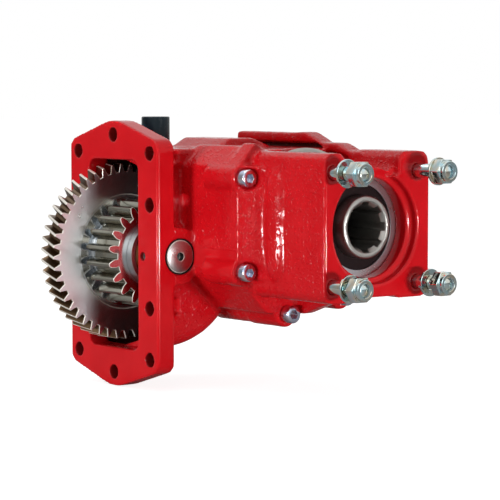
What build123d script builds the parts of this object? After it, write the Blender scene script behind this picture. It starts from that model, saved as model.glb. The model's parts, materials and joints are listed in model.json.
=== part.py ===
import os
from math import acos, atan2, cos, degrees, radians, sin, sqrt, tan

from build123d import *

# Power take off unit for the side of a truck transmission, in millimetres.
# The origin is the centre of the mounting bolt pattern, on the mounting face.
# The mounting face looks along -X, the pump flange along -Y, and +Z is up.

# Mounting flange
flange_half_width = 56.0
flange_corner_height = 84.5
flange_slope = 16.9
flange_thickness = 15.5
flange_corner_radius = 10.0
flange_peak_radius = 40.0
window_half_width = 31.0
window_half_height = 70.5
window_corner_radius = 6.0
mount_hole_radius = 5.2
mount_column = 45.6
mount_inner_row = 38.1
mount_outer_row = 76.2
mount_end_row = 89.3
bolt_head_room_radius = 7.8
bolt_head_room_length = 11.5

# Gears
wheel_teeth = 49
wheel_module = 2.612
wheel_helix = 20.0
wheel_front = 12.0
wheel_width = 17.0
wheel_dish_radius = 43.5
wheel_dish_depth = 1.2
hub_radius = 30.0
pinion_teeth = 20
driven_teeth = 23
centre_distance = 78.0
pinion_turn = 9.7
pressure_angle = 20.0
tooth_play = 0.10
pinion_front = -21.0
undercut_radius = 30.0
undercut_width = 3.5
driven_front = -21.0
driven_width = 16.0

# Idler shaft and its bearings
idler_x = 21.0
idler_radius = 12.5
idler_half_length = 56.0
idler_ring_radius = 23.5
idler_ring_width = 15.0
idler_ring_stand_out = 6.0
idler_back_stand_out = -0.5
centre_hole_radius = 3.2
lock_screw_inset = 18.9
lock_screw_y = lock_screw_inset - idler_half_length
lock_screw_radius = 3.0
lock_screw_length = 7.0
lock_dimple = 1.5
lock_screw_end = idler_x - idler_radius + lock_dimple - 0.2
idler_seal_radius = 13.4
idler_seal_depth = 2.0
idler_track = 17.9
idler_roller = 2.2
idler_roller_count = 14

# Output axis, at the pinion and driven gear's centre distance
output_x = 95.0
pinion_module = 2 * centre_distance / (pinion_teeth + driven_teeth)
output_z = sqrt(centre_distance**2 - (output_x - idler_x) ** 2)

# Gear case
case_wall = 7.0
wheel_room = 3.9
bowl_front = -45.0
bowl_back = 38.0
bowl_front_radius = 66.7
bowl_back_radius = wheel_module * (wheel_teeth / 2 + 1) + wheel_room + case_wall
bowl_shoulder = 4.0
chamber_front = -34.5
boss_radius = 21.5
boss_inner = -31.0
neck_rise = 1.5
neck_top = bowl_back_radius + neck_rise
near_side = 33.5
far_side = 155.0
case_rear = 14.0
case_joint = -95.0
case_tall_end = -45.0
case_tall_top = 86.0
case_low_top = 79.5
ridge_near_side = 126.0
ridge_foot = 68.0
ridge_end = -117.0
case_bottom = -41.0
clutch_room_radius = 49.0
clutch_room_end = -3.5
bearing_carrier_radius = 26.0

# Joint between the two castings
gasket_thickness = 0.8
joint_flange_thickness = 12.0
screw_offsets = ((-56.5, 34.3), (-56.8, -33.8), (-15.0, -66.7), (38.4, -57.0), (67.2, -14.3), (60.7, 32.3))
screw_boss_radius = 10.0
screw_boss_length = 24.0
long_boss_length = 66.0
screw_radius = 4.0
screw_head_radius = 6.5
screw_head_height = 8.0
screw_hole_radius = 4.4
screw_grip = 16.0
screw_socket_flats = 6.0

# Pump housing and its flange
pump_face = -188.0
pump_near_side = 47.0
pump_far_side = 147.0
far_column_side = 117.0
far_column_back = -136.0
far_column_top = 79.0
rear_column_side = 127.0
rear_column_top = 75.0
pump_tube_radius = 48.5
near_column_width = 24.0
near_column_top = 78.5
pump_bottom = -27.5
brace_side = 88.0
brace_width = 12.0
brace_end = -160.0
clutch_end_radius = 42.0
stud_spacing = 80.0
pilot_radius = 40.0
pilot_depth = 7.0
seal_bore_radius = 36.0
seal_bore_end = -158.0
arm_width = 16.0
arm_top = 90.6
arm_step = 83.4
arm_bottom = 83.4
arm_back = -1.5

# Studs, washers and nuts
stud_radius = 5.0
stud_tip = -220.0
stud_depth = 20.0
washer_radius = 10.0
washer_hole_radius = 5.3
washer_thickness = 2.0
washer_stations = (-204.6, -201.0, -201.0, -208.6)
nut_flats = 17.0
nut_height = 11.0
nut_collar_height = 3.5
nut_collar_radius = 7.6
nut_front = -221.7
nut_ring_width = 1.2

# Output shaft, spline and bearings
shaft_end = -178.5
shaft_radius = 22.5
shoulder_radius = 25.0
hub_seat_radius = 16.0
journal_radius = 10.0
spline_teeth = 8
spline_minor_radius = 16.0
spline_major_radius = 18.0
spline_width = 6.0
spline_end = -125.0
hub_seat_start = -4.6
front_ring_radius = 37.5
front_ring_width = 16.0
front_ring_end = -142.0
front_track = 30.0
front_roller = 3.9
front_roller_count = 14
rear_ring_radius = 21.0
rear_ring_width = 12.0
rear_track = 15.5
rear_roller = 2.7
rear_roller_count = 11
running_play = 0.05
cage_inset = 0.6
pocket_inset = 2.2
roller_inset = 2.5
end_gap = 0.35

# Clutch
drum_radius = 47.0
drum_bore_radius = 43.2
drum_web = -22.0
drum_front = -31.0
drum_end = -85.0
bush_radius = 19.0
sleeve_radius = 23.0
sleeve_end = -51.8
clutch_slots = 8
slot_depth = 2.0
slot_width = 8.0
slot_play = 0.25
hub_radius_outer = 29.5
hub_front = -52.4
hub_end = -87.0
disc_pairs = 4
steel_thickness = 2.2
friction_thickness = 2.8
disc_pitch = steel_thickness + friction_thickness + 2 * end_gap
plate_thickness = 5.0
plate_end = hub_front - disc_pairs * disc_pitch - plate_thickness
circlip_thickness = 2.0
circlip_depth = 2.0
slot_start = -48.0
retainer_start = -49.5
retainer_end = -51.5
retainer_depth = 1.2
piston_length = 12.0
piston_nose_end = -50.0
piston_nose_inner = 32.5
spring_thickness = 1.2
spring_rim = -45.3

# Seal and small fittings
seal_thickness = 8.0
seal_front = -167.0
seal_ring_thickness = 2.5
seal_ring_inner = 31.0
seal_ring_groove = 37.5
plug_x = 90.0
plug_y = -117.0
plug_radius = 16.5
plug_seat = 75.6
plug_rise = 4.6
plug_depth = 3.0
plug_rim = 0.4
plug_boss_wall = 3.2
port_x = 40.0
port_radius = 8.0
port_depth = 7.0
port_bottom = neck_top - port_depth
port_bore = 3.0
cap_radius = 10.7
cap_wall = 1.4
cap_height = 23.3
cap_top = neck_top + cap_height

os.makedirs("parts", exist_ok=True)

idler_plane = Plane(origin=(idler_x, 0, 0), x_dir=(1, 0, 0), z_dir=(0, 0, 1))
output_plane = Plane(origin=(output_x, 0, output_z), x_dir=(1, 0, 0), z_dir=(0, 0, 1))
idler_axis = Axis((idler_x, 0, 0), (0, 1, 0))
output_axis = Axis((output_x, 0, output_z), (0, 1, 0))
mesh_angle = degrees(atan2(output_z, output_x - idler_x))
driven_lead = (pinion_turn - mesh_angle) * pinion_teeth / driven_teeth
driven_turn = mesh_angle + 180 + 180 / driven_teeth - driven_lead
output_centre = (output_x, output_z)
housing_joint = case_joint - gasket_thickness
screw_seat = housing_joint - joint_flange_thickness
screw_points = [(output_x + across_offset, output_z + up_offset) for across_offset, up_offset in screw_offsets]
stud_points = [
    (output_x + side * stud_spacing / 2, output_z + height * stud_spacing / 2)
    for side in (-1, 1)
    for height in (-1, 1)
]
joint_corners = [
    (near_side, -12),
    (near_side, 67),
    (50, 84.8),
    (59, case_low_top),
    (112, case_low_top),
    (138, 70),
    (far_side, 48),
    (far_side, -2),
    (130, case_bottom + 7),
    (104, case_bottom),
    (62, case_bottom),
]


def finish(builder, name):
    """Label a finished piece and write it to its own file."""
    builder.part.label = name
    export_step(builder.part, "parts/" + name + ".step")


def across(y):
    """The plane at a station along the shafts, seen from the pump's end."""
    return Plane.XZ.offset(-y)


def band(inner, outer, start, end):
    """One ring's section in the current sketch: its radii, and its ends along the axis."""
    with Locations(((inner + outer) / 2, (start + end) / 2)):
        Rectangle(outer - inner, abs(end - start))


def polar(centre, radius, angle):
    """The point at a radius and an angle in degrees from a centre."""
    return (centre[0] + radius * cos(radians(angle)), centre[1] + radius * sin(radians(angle)))


def involute_turn(radius, base):
    """How far an involute has turned when it reaches a radius, in degrees."""
    pressure = acos(base / radius)
    return degrees(tan(pressure) - pressure)


def gear_outline(centre, teeth, module, turned, curved):
    """The closed outline of a gear's section, with the middle of one tooth at the angle turned."""
    pitch = module * teeth / 2
    base = pitch * cos(radians(pressure_angle))
    tip = pitch + module
    root = pitch - 1.25 * module
    start = max(base, root)
    middle = (start + tip) / 2
    half = 90 / teeth - degrees(tooth_play / pitch) + involute_turn(pitch, base)
    start_half = half - involute_turn(start, base)
    middle_half = half - involute_turn(middle, base)
    tip_half = half - involute_turn(tip, base)
    for index in range(teeth):
        angle = turned + index * 360 / teeth
        for side in (-1, 1):
            foot = polar(centre, start, angle + side * start_half)
            end = polar(centre, tip, angle + side * tip_half)
            if root < start:
                Line(polar(centre, root, angle + side * start_half), foot)
            if curved:
                ThreePointArc(foot, polar(centre, middle, angle + side * middle_half), end)
            else:
                Line(foot, end)
        Line(polar(centre, tip, angle - tip_half), polar(centre, tip, angle + tip_half))
        next_foot = polar(centre, root, angle + 360 / teeth - start_half)
        Line(polar(centre, root, angle + start_half), next_foot)


def cage_ring(centre, track, roller):
    """The section of a bearing's cage in the current sketch."""
    with Locations(centre):
        Circle(track + 0.6 * roller)
        Circle(track - 0.6 * roller, mode=Mode.SUBTRACT)


def cage_pockets(centre, track, roller, count):
    """The section of the pockets that a bearing's cage has for its rollers."""
    with Locations(centre):
        with PolarLocations(track, count):
            Rectangle(3 * roller, 2 * roller + 0.5)


def roller_circles(centre, track, roller, count):
    """The section of a bearing's rollers."""
    with Locations(centre):
        with PolarLocations(track, count):
            Circle(roller)


# The gear case: the bowl round the wheel, the body round the clutch and the mounting flange
with BuildPart() as gear_case:
    with BuildSketch(idler_plane) as bowl_sketch:
        with BuildLine():
            Polyline(
                (0, bowl_front),
                (bowl_front_radius, bowl_front),
                (bowl_back_radius, bowl_shoulder),
                (bowl_back_radius, bowl_back),
                (0, bowl_back),
                close=True,
            )
        make_face()
        fillet(bowl_sketch.vertices().filter_by(lambda v: v.X > 1), radius=7)
    revolve(axis=idler_axis)

    with BuildSketch(across(case_rear)) as tall_sketch:
        with BuildLine():
            Polyline(
                (near_side, -12),
                (near_side, 66.5),
                (66, 80),
                (77, case_tall_top),
                (100, case_tall_top),
                (138, 72),
                (far_side, 50),
                (far_side, -2),
                (130, case_bottom + 7),
                (104, case_bottom),
                (62, case_bottom),
                close=True,
            )
        make_face()
        fillet(tall_sketch.vertices(), radius=4)
    extrude(amount=case_rear - case_tall_end)

    with BuildSketch(across(case_tall_end + 6)) as low_sketch:
        with BuildLine():
            Polyline(
                (near_side, -12),
                (near_side, 67),
                (50, 82.5),
                (59, case_low_top),
                (112, case_low_top),
                (138, 70),
                (far_side, 50),
                (far_side, -2),
                (130, case_bottom + 7),
                (104, case_bottom),
                (62, case_bottom),
                close=True,
            )
        make_face()
        fillet(low_sketch.vertices(), radius=2)
    extrude(amount=case_tall_end + 6 - case_joint)

    with BuildSketch(across(bowl_back - 4)) as neck_sketch:
        with BuildLine():
            Polyline((2, -40), (2, neck_top), (68, neck_top), (88, 40), (88, -20), (60, -40), close=True)
        make_face()
        fillet(neck_sketch.vertices().sort_by(Axis.Y)[-2:], radius=4)
    extrude(amount=bowl_back - 4 - bowl_front)

    # The ridge that the long arm lies on
    ridge_length = arm_back - case_joint
    with BuildSketch(Plane.XY.offset(ridge_foot)):
        with Locations(((ridge_near_side + far_column_side + arm_width) / 2, case_joint + ridge_length / 2)):
            Rectangle(far_column_side + arm_width - ridge_near_side, ridge_length)
    extrude(amount=arm_bottom - ridge_foot)

    # The chamber round the gears and the room round the clutch
    with BuildSketch(idler_plane) as chamber_sketch:
        with BuildLine():
            Polyline(
                (0, chamber_front),
                (bowl_front_radius - case_wall - 1, chamber_front),
                (bowl_back_radius - case_wall, bowl_shoulder + 2),
                (bowl_back_radius - case_wall, bowl_back - case_wall),
                (0, bowl_back - case_wall),
                close=True,
            )
        make_face()
    revolve(axis=idler_axis, mode=Mode.SUBTRACT)
    with BuildSketch(output_plane):
        band(0, clutch_room_radius, case_joint - 1, clutch_room_end)
    revolve(axis=output_axis, mode=Mode.SUBTRACT)

    # The pocket above the near boss, which leaves the flange's bolts free
    with BuildSketch(Plane.XY.offset(24)):
        with Locations(((flange_thickness + near_side) / 2, bowl_front)):
            Rectangle(near_side - flange_thickness, 8)
    extrude(amount=42, mode=Mode.SUBTRACT)

    # The carrier of the output shaft's rear bearing
    with BuildSketch(output_plane):
        band(0, bearing_carrier_radius, clutch_room_end, wheel_front - 1)
    revolve(axis=output_axis)

    # Bosses for the idler shaft, inside and outside the walls
    with BuildSketch(across(idler_half_length)) as far_boss_sketch:
        with Locations((idler_x, 0)):
            Circle(boss_radius)
        with Locations((idler_x - boss_radius / 2, 0)):
            Rectangle(boss_radius, 2 * boss_radius)
    extrude(amount=idler_half_length + boss_inner)
    with BuildSketch(across(boss_inner)) as near_boss_sketch:
        with Locations((idler_x, 0)):
            Circle(boss_radius)
        with Locations((idler_x - boss_radius / 2, 0)):
            Rectangle(boss_radius, 2 * boss_radius)
    extrude(amount=idler_half_length + boss_inner)

    # Bosses for the case screws, the lowest one long
    with BuildSketch(across(case_joint + screw_boss_length)):
        with Locations(*screw_points):
            Circle(screw_boss_radius)
    extrude(amount=screw_boss_length)
    with BuildSketch(across(case_joint + long_boss_length)):
        with Locations(screw_points[2]):
            Circle(screw_boss_radius - 0.6)
    extrude(amount=long_boss_length)

    # The mounting flange, with its window
    split(bisect_by=Plane.YZ.offset(flange_thickness - 0.5), keep=Keep.TOP)
    with BuildSketch(Plane.YZ) as flange_sketch:
        with BuildLine():
            Polyline(
                (0, flange_corner_height + flange_half_width * tan(radians(flange_slope))),
                (flange_half_width, flange_corner_height),
                (flange_half_width, -flange_corner_height),
                (0, -flange_corner_height - flange_half_width * tan(radians(flange_slope))),
                (-flange_half_width, -flange_corner_height),
                (-flange_half_width, flange_corner_height),
                close=True,
            )
        make_face()
        fillet(flange_sketch.vertices().filter_by(lambda v: abs(v.X) < 1), radius=flange_peak_radius)
        side_corners = flange_sketch.vertices().filter_by(lambda v: abs(v.X) > flange_half_width - 1)
        fillet(side_corners, radius=flange_corner_radius)
        RectangleRounded(
            2 * window_half_width, 2 * window_half_height, window_corner_radius, mode=Mode.SUBTRACT
        )
    extrude(amount=flange_thickness)

    # Bolt holes, with room for their heads behind the flange
    with BuildSketch(Plane.YZ):
        with GridLocations(2 * mount_column, 2 * mount_inner_row, 2, 2):
            Circle(mount_hole_radius)
        with GridLocations(2 * mount_column, 2 * mount_outer_row, 2, 2):
            Circle(mount_hole_radius)
        with GridLocations(1, 2 * mount_end_row, 1, 2):
            Circle(mount_hole_radius)
    extrude(amount=flange_thickness + 1, mode=Mode.SUBTRACT)
    with BuildSketch(Plane.YZ.offset(flange_thickness)):
        with GridLocations(2 * mount_column, 2 * mount_inner_row, 2, 2):
            Circle(bolt_head_room_radius)
        with GridLocations(2 * mount_column, 2 * mount_outer_row, 2, 2):
            Circle(bolt_head_room_radius)
    extrude(amount=bolt_head_room_length, mode=Mode.SUBTRACT)

    # Bores for the idler shaft and the rear bearing, and the drilled holes
    with BuildSketch(idler_plane):
        band(0, idler_ring_radius + 1.5, boss_inner, -boss_inner)
        band(0, idler_radius, -idler_half_length, idler_half_length)
        band(0, idler_seal_radius, -idler_half_length, idler_seal_depth - idler_half_length)
        band(0, idler_seal_radius, idler_half_length, idler_half_length - idler_seal_depth)
    revolve(axis=idler_axis, mode=Mode.SUBTRACT)
    with BuildSketch(output_plane):
        band(0, rear_ring_radius, clutch_room_end, clutch_room_end + rear_ring_width)
    revolve(axis=output_axis, mode=Mode.SUBTRACT)
    with BuildSketch(Plane.YZ):
        with Locations((lock_screw_y, 0)):
            Circle(lock_screw_radius)
    extrude(amount=idler_x, mode=Mode.SUBTRACT)
    with BuildSketch(across(case_joint + screw_grip + 2)):
        with Locations(*screw_points):
            Circle(screw_radius)
    extrude(amount=screw_grip + 2, mode=Mode.SUBTRACT)
    with BuildSketch(Plane.XY.offset(port_bottom)):
        with Locations((port_x, 0)):
            Circle(port_radius)
    extrude(amount=neck_top, mode=Mode.SUBTRACT)
finish(gear_case, "gear_case")

# The pump housing: the tube round the output shaft, two columns for the studs and the long arm
with BuildPart() as pump_housing:
    with BuildSketch(across(housing_joint)):
        with Locations((output_x, output_z)):
            Circle(pump_tube_radius)
    extrude(amount=housing_joint - pump_face)

    with BuildSketch(across(housing_joint)) as near_column_sketch:
        with BuildLine():
            Polyline(
                (pump_near_side, pump_bottom),
                (pump_near_side, near_column_top - 4),
                (pump_near_side + 5, near_column_top),
                (pump_near_side + 15, near_column_top),
                (pump_near_side + near_column_width, near_column_top - 9),
                (pump_near_side + near_column_width, pump_bottom),
                close=True,
            )
        make_face()
        fillet(near_column_sketch.vertices().group_by(Axis.Y)[0].sort_by(Axis.X)[0], radius=8)
        fillet(near_column_sketch.vertices().group_by(Axis.Y)[-1], radius=4)
    extrude(amount=housing_joint - pump_face)
    with BuildSketch(across(far_column_back)) as far_column_sketch:
        with BuildLine():
            Polyline(
                (far_column_side, pump_bottom + 1),
                (far_column_side, far_column_top - 5),
                (far_column_side + 5, far_column_top),
                (pump_far_side - 1, far_column_top),
                (pump_far_side, far_column_top - 19),
                (pump_far_side, pump_bottom + 1),
                close=True,
            )
        make_face()
        fillet(far_column_sketch.vertices().filter_by(lambda v: v.X > pump_far_side - 2), radius=8)
    extrude(amount=far_column_back - pump_face)
    with BuildSketch(across(housing_joint)):
        with Locations(((rear_column_side + pump_far_side) / 2, (rear_column_top + pump_bottom) / 2)):
            Rectangle(pump_far_side - rear_column_side, rear_column_top - pump_bottom)
    extrude(amount=housing_joint - far_column_back + 1)
    with BuildSketch(across(housing_joint)):
        with Locations((output_x - 2, -10)):
            Rectangle(66, 30)
    extrude(amount=housing_joint - pump_face)

    # The joint flange and the webs that brace it
    with BuildSketch(across(housing_joint)):
        with BuildLine():
            Polyline(*joint_corners, close=True)
        make_face()
        with Locations(*screw_points):
            Circle(screw_boss_radius)
    extrude(amount=joint_flange_thickness)
    with BuildSketch(Plane.XY.offset(-14)):
        with BuildLine():
            Polyline(
                (near_side + 2, screw_seat),
                (pump_near_side + 1, screw_seat - 20),
                (pump_near_side + 10, screw_seat - 20),
                (pump_near_side + 10, screw_seat + 2),
                (near_side + 2, screw_seat + 2),
                close=True,
            )
        make_face()
    extrude(amount=82)
    with BuildSketch(Plane.YZ.offset(brace_side)):
        with BuildLine():
            Polyline(
                (screw_seat + 2, case_bottom - 1),
                (screw_seat + 2, 0),
                (brace_end, 0),
                (brace_end, pump_bottom + 1),
                (screw_seat - 8, case_bottom - 1),
                close=True,
            )
        make_face()
    extrude(amount=brace_width)

    # The long arm over the gear case
    with BuildSketch(Plane.YZ.offset(far_column_side)) as arm_sketch:
        with BuildLine():
            Polyline(
                (far_column_back - 10, far_column_top - 8),
                (far_column_back - 10, far_column_top - 1.5),
                (far_column_back + 3, far_column_top - 1.5),
                (-118.5, arm_step),
                (-101, arm_step),
                (-83, arm_top + 0.3),
                (-75, arm_top + 0.3),
                (-71, arm_top - 0.3),
                (arm_back, arm_top),
                (arm_back, arm_bottom),
                (housing_joint, arm_bottom),
                (-107, arm_bottom - 5.6),
                (far_column_back + 4, rear_column_top - 1),
                (far_column_back + 4, far_column_top - 8),
                close=True,
            )
        make_face()
        fillet(arm_sketch.vertices().filter_by(lambda v: v.X > arm_back - 1 and v.Y > arm_top - 1), radius=2.5)
        fillet(arm_sketch.vertices().filter_by(lambda v: -119 < v.X < -82 and v.Y > arm_step - 1), radius=2)
    extrude(amount=arm_width)
    with BuildSketch(Plane.XY.offset(ridge_foot)):
        with Locations(((ridge_near_side + far_column_side + arm_width) / 2, (housing_joint + ridge_end) / 2)):
            Rectangle(far_column_side + arm_width - ridge_near_side, housing_joint - ridge_end)
    extrude(amount=arm_step - 1 - ridge_foot)

    # The seat of the round plug in the top recess
    with BuildSketch(Plane.XY.offset(output_z)):
        with Locations((plug_x, plug_y)):
            Circle(plug_radius + plug_boss_wall)
    extrude(amount=plug_seat - output_z)

    # Bores for the clutch end, the bearing, the seal, its ring and the pump's pilot
    with BuildSketch(output_plane):
        band(0, clutch_end_radius, housing_joint + 1, front_ring_end)
        band(0, front_ring_radius, front_ring_end, seal_bore_end)
        band(0, seal_bore_radius, seal_bore_end, pump_face + pilot_depth)
        band(0, pilot_radius, pump_face + pilot_depth, pump_face - 1)
        band(0, seal_ring_groove, seal_front - seal_ring_thickness - 0.1, seal_front)
    revolve(axis=output_axis, mode=Mode.SUBTRACT)
    with BuildSketch(across(pump_face + pilot_depth)):
        with Locations(((pump_near_side + near_column_width + far_column_side) / 2, 71)):
            Rectangle(far_column_side - pump_near_side - near_column_width, 20)
    extrude(amount=pilot_depth + 1, mode=Mode.SUBTRACT)

    # Holes for the studs, the case screws and the plug
    with BuildSketch(across(pump_face + stud_depth)):
        with Locations(*stud_points):
            Circle(stud_radius)
    extrude(amount=stud_depth + 1, mode=Mode.SUBTRACT)
    with BuildSketch(across(housing_joint)):
        with Locations(*screw_points):
            Circle(screw_hole_radius)
    extrude(amount=joint_flange_thickness + 1, mode=Mode.SUBTRACT)
    with BuildSketch(across(screw_seat)):
        with Locations(*screw_points):
            Circle(screw_head_radius + 1.4)
    extrude(amount=34, mode=Mode.SUBTRACT)
    with BuildSketch(Plane.XY.offset(plug_seat - 3)):
        with Locations((plug_x, plug_y)):
            Circle(plug_radius)
    extrude(amount=8, mode=Mode.SUBTRACT)
finish(pump_housing, "pump_housing")

# The gasket between the castings
with BuildPart() as housing_gasket:
    with BuildSketch(across(case_joint)):
        with BuildLine():
            Polyline(*joint_corners, close=True)
        make_face()
        with Locations(*screw_points):
            Circle(screw_boss_radius)
        with Locations((output_x, output_z)):
            Circle(clutch_room_radius, mode=Mode.SUBTRACT)
        with Locations(*screw_points):
            Circle(screw_hole_radius, mode=Mode.SUBTRACT)
    extrude(amount=gasket_thickness)
finish(housing_gasket, "housing_gasket")

# The idler cluster: a helical wheel that meets the transmission, and the spur pinion beside it
cluster_back = wheel_front + wheel_width
front_ring_start = pinion_front - idler_ring_stand_out
back_ring_start = cluster_back + idler_back_stand_out - idler_ring_width
wheel_pitch = wheel_module * wheel_teeth / 2
wheel_twist = degrees(wheel_width * tan(radians(wheel_helix)) / wheel_pitch)
with BuildPart() as idler_gear_cluster:
    with BuildSketch(across(cluster_back)):
        with BuildLine():
            gear_outline((idler_x, 0), wheel_teeth, wheel_module, 0, False)
        make_face()
    with BuildSketch(across(wheel_front)):
        with BuildLine():
            gear_outline((idler_x, 0), wheel_teeth, wheel_module, wheel_twist, False)
        make_face()
    loft(ruled=True)
    with BuildSketch(idler_plane):
        band(0, undercut_radius, wheel_front - undercut_width, wheel_front)
    revolve(axis=idler_axis)
    with BuildSketch(across(wheel_front - undercut_width)):
        with BuildLine():
            gear_outline((idler_x, 0), pinion_teeth, pinion_module, pinion_turn, True)
        make_face()
    extrude(amount=wheel_front - undercut_width - pinion_front)
    with BuildSketch(idler_plane):
        band(undercut_radius, wheel_dish_radius, wheel_front - 0.01, wheel_front + wheel_dish_depth)
        band(hub_radius, wheel_pitch - 5.5, cluster_back - wheel_dish_depth, cluster_back + 0.01)
        band(0, idler_ring_radius, pinion_front, front_ring_start + idler_ring_width)
        band(0, idler_ring_radius, cluster_back, back_ring_start)
        band(0, idler_ring_radius - 3, pinion_front, cluster_back)
    revolve(axis=idler_axis, mode=Mode.SUBTRACT)
finish(idler_gear_cluster, "idler_gear_cluster")

# The idler shaft, pressed into both walls of the case, with a drilled dimple for its lock screw
with BuildPart() as idler_shaft:
    with BuildSketch(across(idler_half_length)):
        with Locations((idler_x, 0)):
            Circle(idler_radius)
    extrude(amount=2 * idler_half_length)
    chamfer(edges().filter_by(GeomType.CIRCLE), length=1)
    with BuildSketch(idler_plane):
        band(0, centre_hole_radius, -idler_half_length, 5 - idler_half_length)
        band(0, centre_hole_radius, idler_half_length, idler_half_length - 5)
    revolve(axis=idler_axis, mode=Mode.SUBTRACT)
    with BuildSketch(Plane.YZ):
        with Locations((lock_screw_y, 0)):
            Circle(lock_screw_radius)
    extrude(amount=idler_x - idler_radius + lock_dimple, mode=Mode.SUBTRACT)
finish(idler_shaft, "idler_shaft")

# Sealing rings round the ends of the idler shaft, in counterbores of the case
with BuildPart() as idler_shaft_seals:
    with BuildSketch(idler_plane):
        band(idler_radius, idler_seal_radius, 0.2 - idler_half_length, idler_seal_depth - idler_half_length)
        band(idler_radius, idler_seal_radius, idler_half_length - 0.2, idler_half_length - idler_seal_depth)
    revolve(axis=idler_axis)
finish(idler_shaft_seals, "idler_shaft_seals")

# The set screw that stops the idler shaft from turning, with its hexagon socket
with BuildPart() as idler_lock_screw:
    with BuildSketch(Plane.YZ.offset(lock_screw_end - lock_screw_length)):
        with Locations((lock_screw_y, 0)):
            Circle(lock_screw_radius)
            RegularPolygon(1.5, 6, major_radius=False, mode=Mode.SUBTRACT)
    extrude(amount=3)
    with BuildSketch(Plane.YZ.offset(lock_screw_end - lock_screw_length + 3)):
        with Locations((lock_screw_y, 0)):
            Circle(lock_screw_radius)
    extrude(amount=lock_screw_length - 3)
finish(idler_lock_screw, "idler_lock_screw")

# The idler's two roller bearings: inner rings and spacers on the shaft, outer rings in the cluster
idler_inner_track = idler_track - idler_roller - running_play
idler_outer_track = idler_track + idler_roller + running_play
with BuildPart() as idler_inner_rings:
    with BuildSketch(idler_plane):
        band(idler_radius, idler_inner_track, front_ring_start, front_ring_start + idler_ring_width)
        band(idler_radius, idler_inner_track, back_ring_start, back_ring_start + idler_ring_width)
    revolve(axis=idler_axis)
finish(idler_inner_rings, "idler_inner_rings")

with BuildPart() as idler_spacers:
    with BuildSketch(idler_plane):
        band(idler_radius, idler_inner_track, boss_inner, front_ring_start)
        band(idler_radius, idler_inner_track, back_ring_start + idler_ring_width, -boss_inner)
        band(
            idler_radius,
            idler_inner_track - 0.6,
            front_ring_start + idler_ring_width,
            back_ring_start,
        )
    revolve(axis=idler_axis)
finish(idler_spacers, "idler_spacers")

with BuildPart() as idler_outer_rings:
    with BuildSketch(idler_plane):
        band(idler_outer_track, idler_ring_radius, front_ring_start, front_ring_start + idler_ring_width)
        band(idler_outer_track, idler_ring_radius, back_ring_start, back_ring_start + idler_ring_width)
    revolve(axis=idler_axis)
finish(idler_outer_rings, "idler_outer_rings")

with BuildPart() as idler_cages:
    for ring_start in (front_ring_start, back_ring_start):
        with BuildSketch(across(ring_start + idler_ring_width - cage_inset)):
            cage_ring((idler_x, 0), idler_track, idler_roller)
        extrude(amount=idler_ring_width - 2 * cage_inset)
        with BuildSketch(across(ring_start + idler_ring_width - pocket_inset)):
            cage_pockets((idler_x, 0), idler_track, idler_roller, idler_roller_count)
        extrude(amount=idler_ring_width - 2 * pocket_inset, mode=Mode.SUBTRACT)
finish(idler_cages, "idler_cages")

with BuildPart() as idler_rollers:
    for ring_start in (front_ring_start, back_ring_start):
        with BuildSketch(across(ring_start + idler_ring_width - roller_inset)):
            roller_circles((idler_x, 0), idler_track, idler_roller, idler_roller_count)
        extrude(amount=idler_ring_width - 2 * roller_inset)
finish(idler_rollers, "idler_rollers")

# The output shaft, hollow at the pump's end, where eight splines take the pump's shaft
with BuildPart() as output_shaft:
    with BuildSketch(output_plane):
        band(0, journal_radius, clutch_room_end + rear_ring_width - 0.2, hub_seat_start)
        band(0, hub_seat_radius, hub_seat_start, hub_end)
        band(0, shaft_radius, hub_end, shaft_end)
        band(0, shoulder_radius, front_ring_end + 10, front_ring_end)
    revolve(axis=output_axis)
    chamfer(faces().sort_by(Axis.Y)[0].edges().filter_by(GeomType.CIRCLE), length=1)
    with BuildSketch(across(spline_end)):
        with Locations((output_x, output_z)):
            Circle(spline_minor_radius)
            with PolarLocations(spline_major_radius / 2, spline_teeth):
                Rectangle(spline_major_radius, spline_width)
    extrude(amount=spline_end - shaft_end, mode=Mode.SUBTRACT)
    with BuildSketch(output_plane):
        band(0, spline_major_radius + 0.5, spline_end, spline_end + 7)
        with BuildLine():
            Polyline(
                (0, shaft_end),
                (spline_major_radius + 1, shaft_end),
                (0, shaft_end + spline_major_radius + 1),
                close=True,
            )
        make_face()
    revolve(axis=output_axis, mode=Mode.SUBTRACT)
finish(output_shaft, "output_shaft")

# The shaft's two roller bearings
rear_ring_end = clutch_room_end + rear_ring_width
front_inner_track = front_track - front_roller - running_play
front_outer_track = front_track + front_roller + running_play
rear_inner_track = rear_track - rear_roller - running_play
rear_outer_track = rear_track + rear_roller + running_play
with BuildPart() as shaft_inner_rings:
    with BuildSketch(output_plane):
        band(shaft_radius, front_inner_track, seal_bore_end, front_ring_end)
        band(journal_radius, rear_inner_track, clutch_room_end, rear_ring_end)
    revolve(axis=output_axis)
finish(shaft_inner_rings, "shaft_inner_rings")

with BuildPart() as shaft_outer_rings:
    with BuildSketch(output_plane):
        band(front_outer_track, front_ring_radius, seal_bore_end, front_ring_end)
        band(rear_outer_track, rear_ring_radius, clutch_room_end, rear_ring_end)
    revolve(axis=output_axis)
finish(shaft_outer_rings, "shaft_outer_rings")

with BuildPart() as front_cage:
    with BuildSketch(across(seal_bore_end + front_ring_width - cage_inset)):
        cage_ring(output_centre, front_track, front_roller)
    extrude(amount=front_ring_width - 2 * cage_inset)
    with BuildSketch(across(seal_bore_end + front_ring_width - pocket_inset)):
        cage_pockets(output_centre, front_track, front_roller, front_roller_count)
    extrude(amount=front_ring_width - 2 * pocket_inset, mode=Mode.SUBTRACT)
finish(front_cage, "front_cage")

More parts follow.
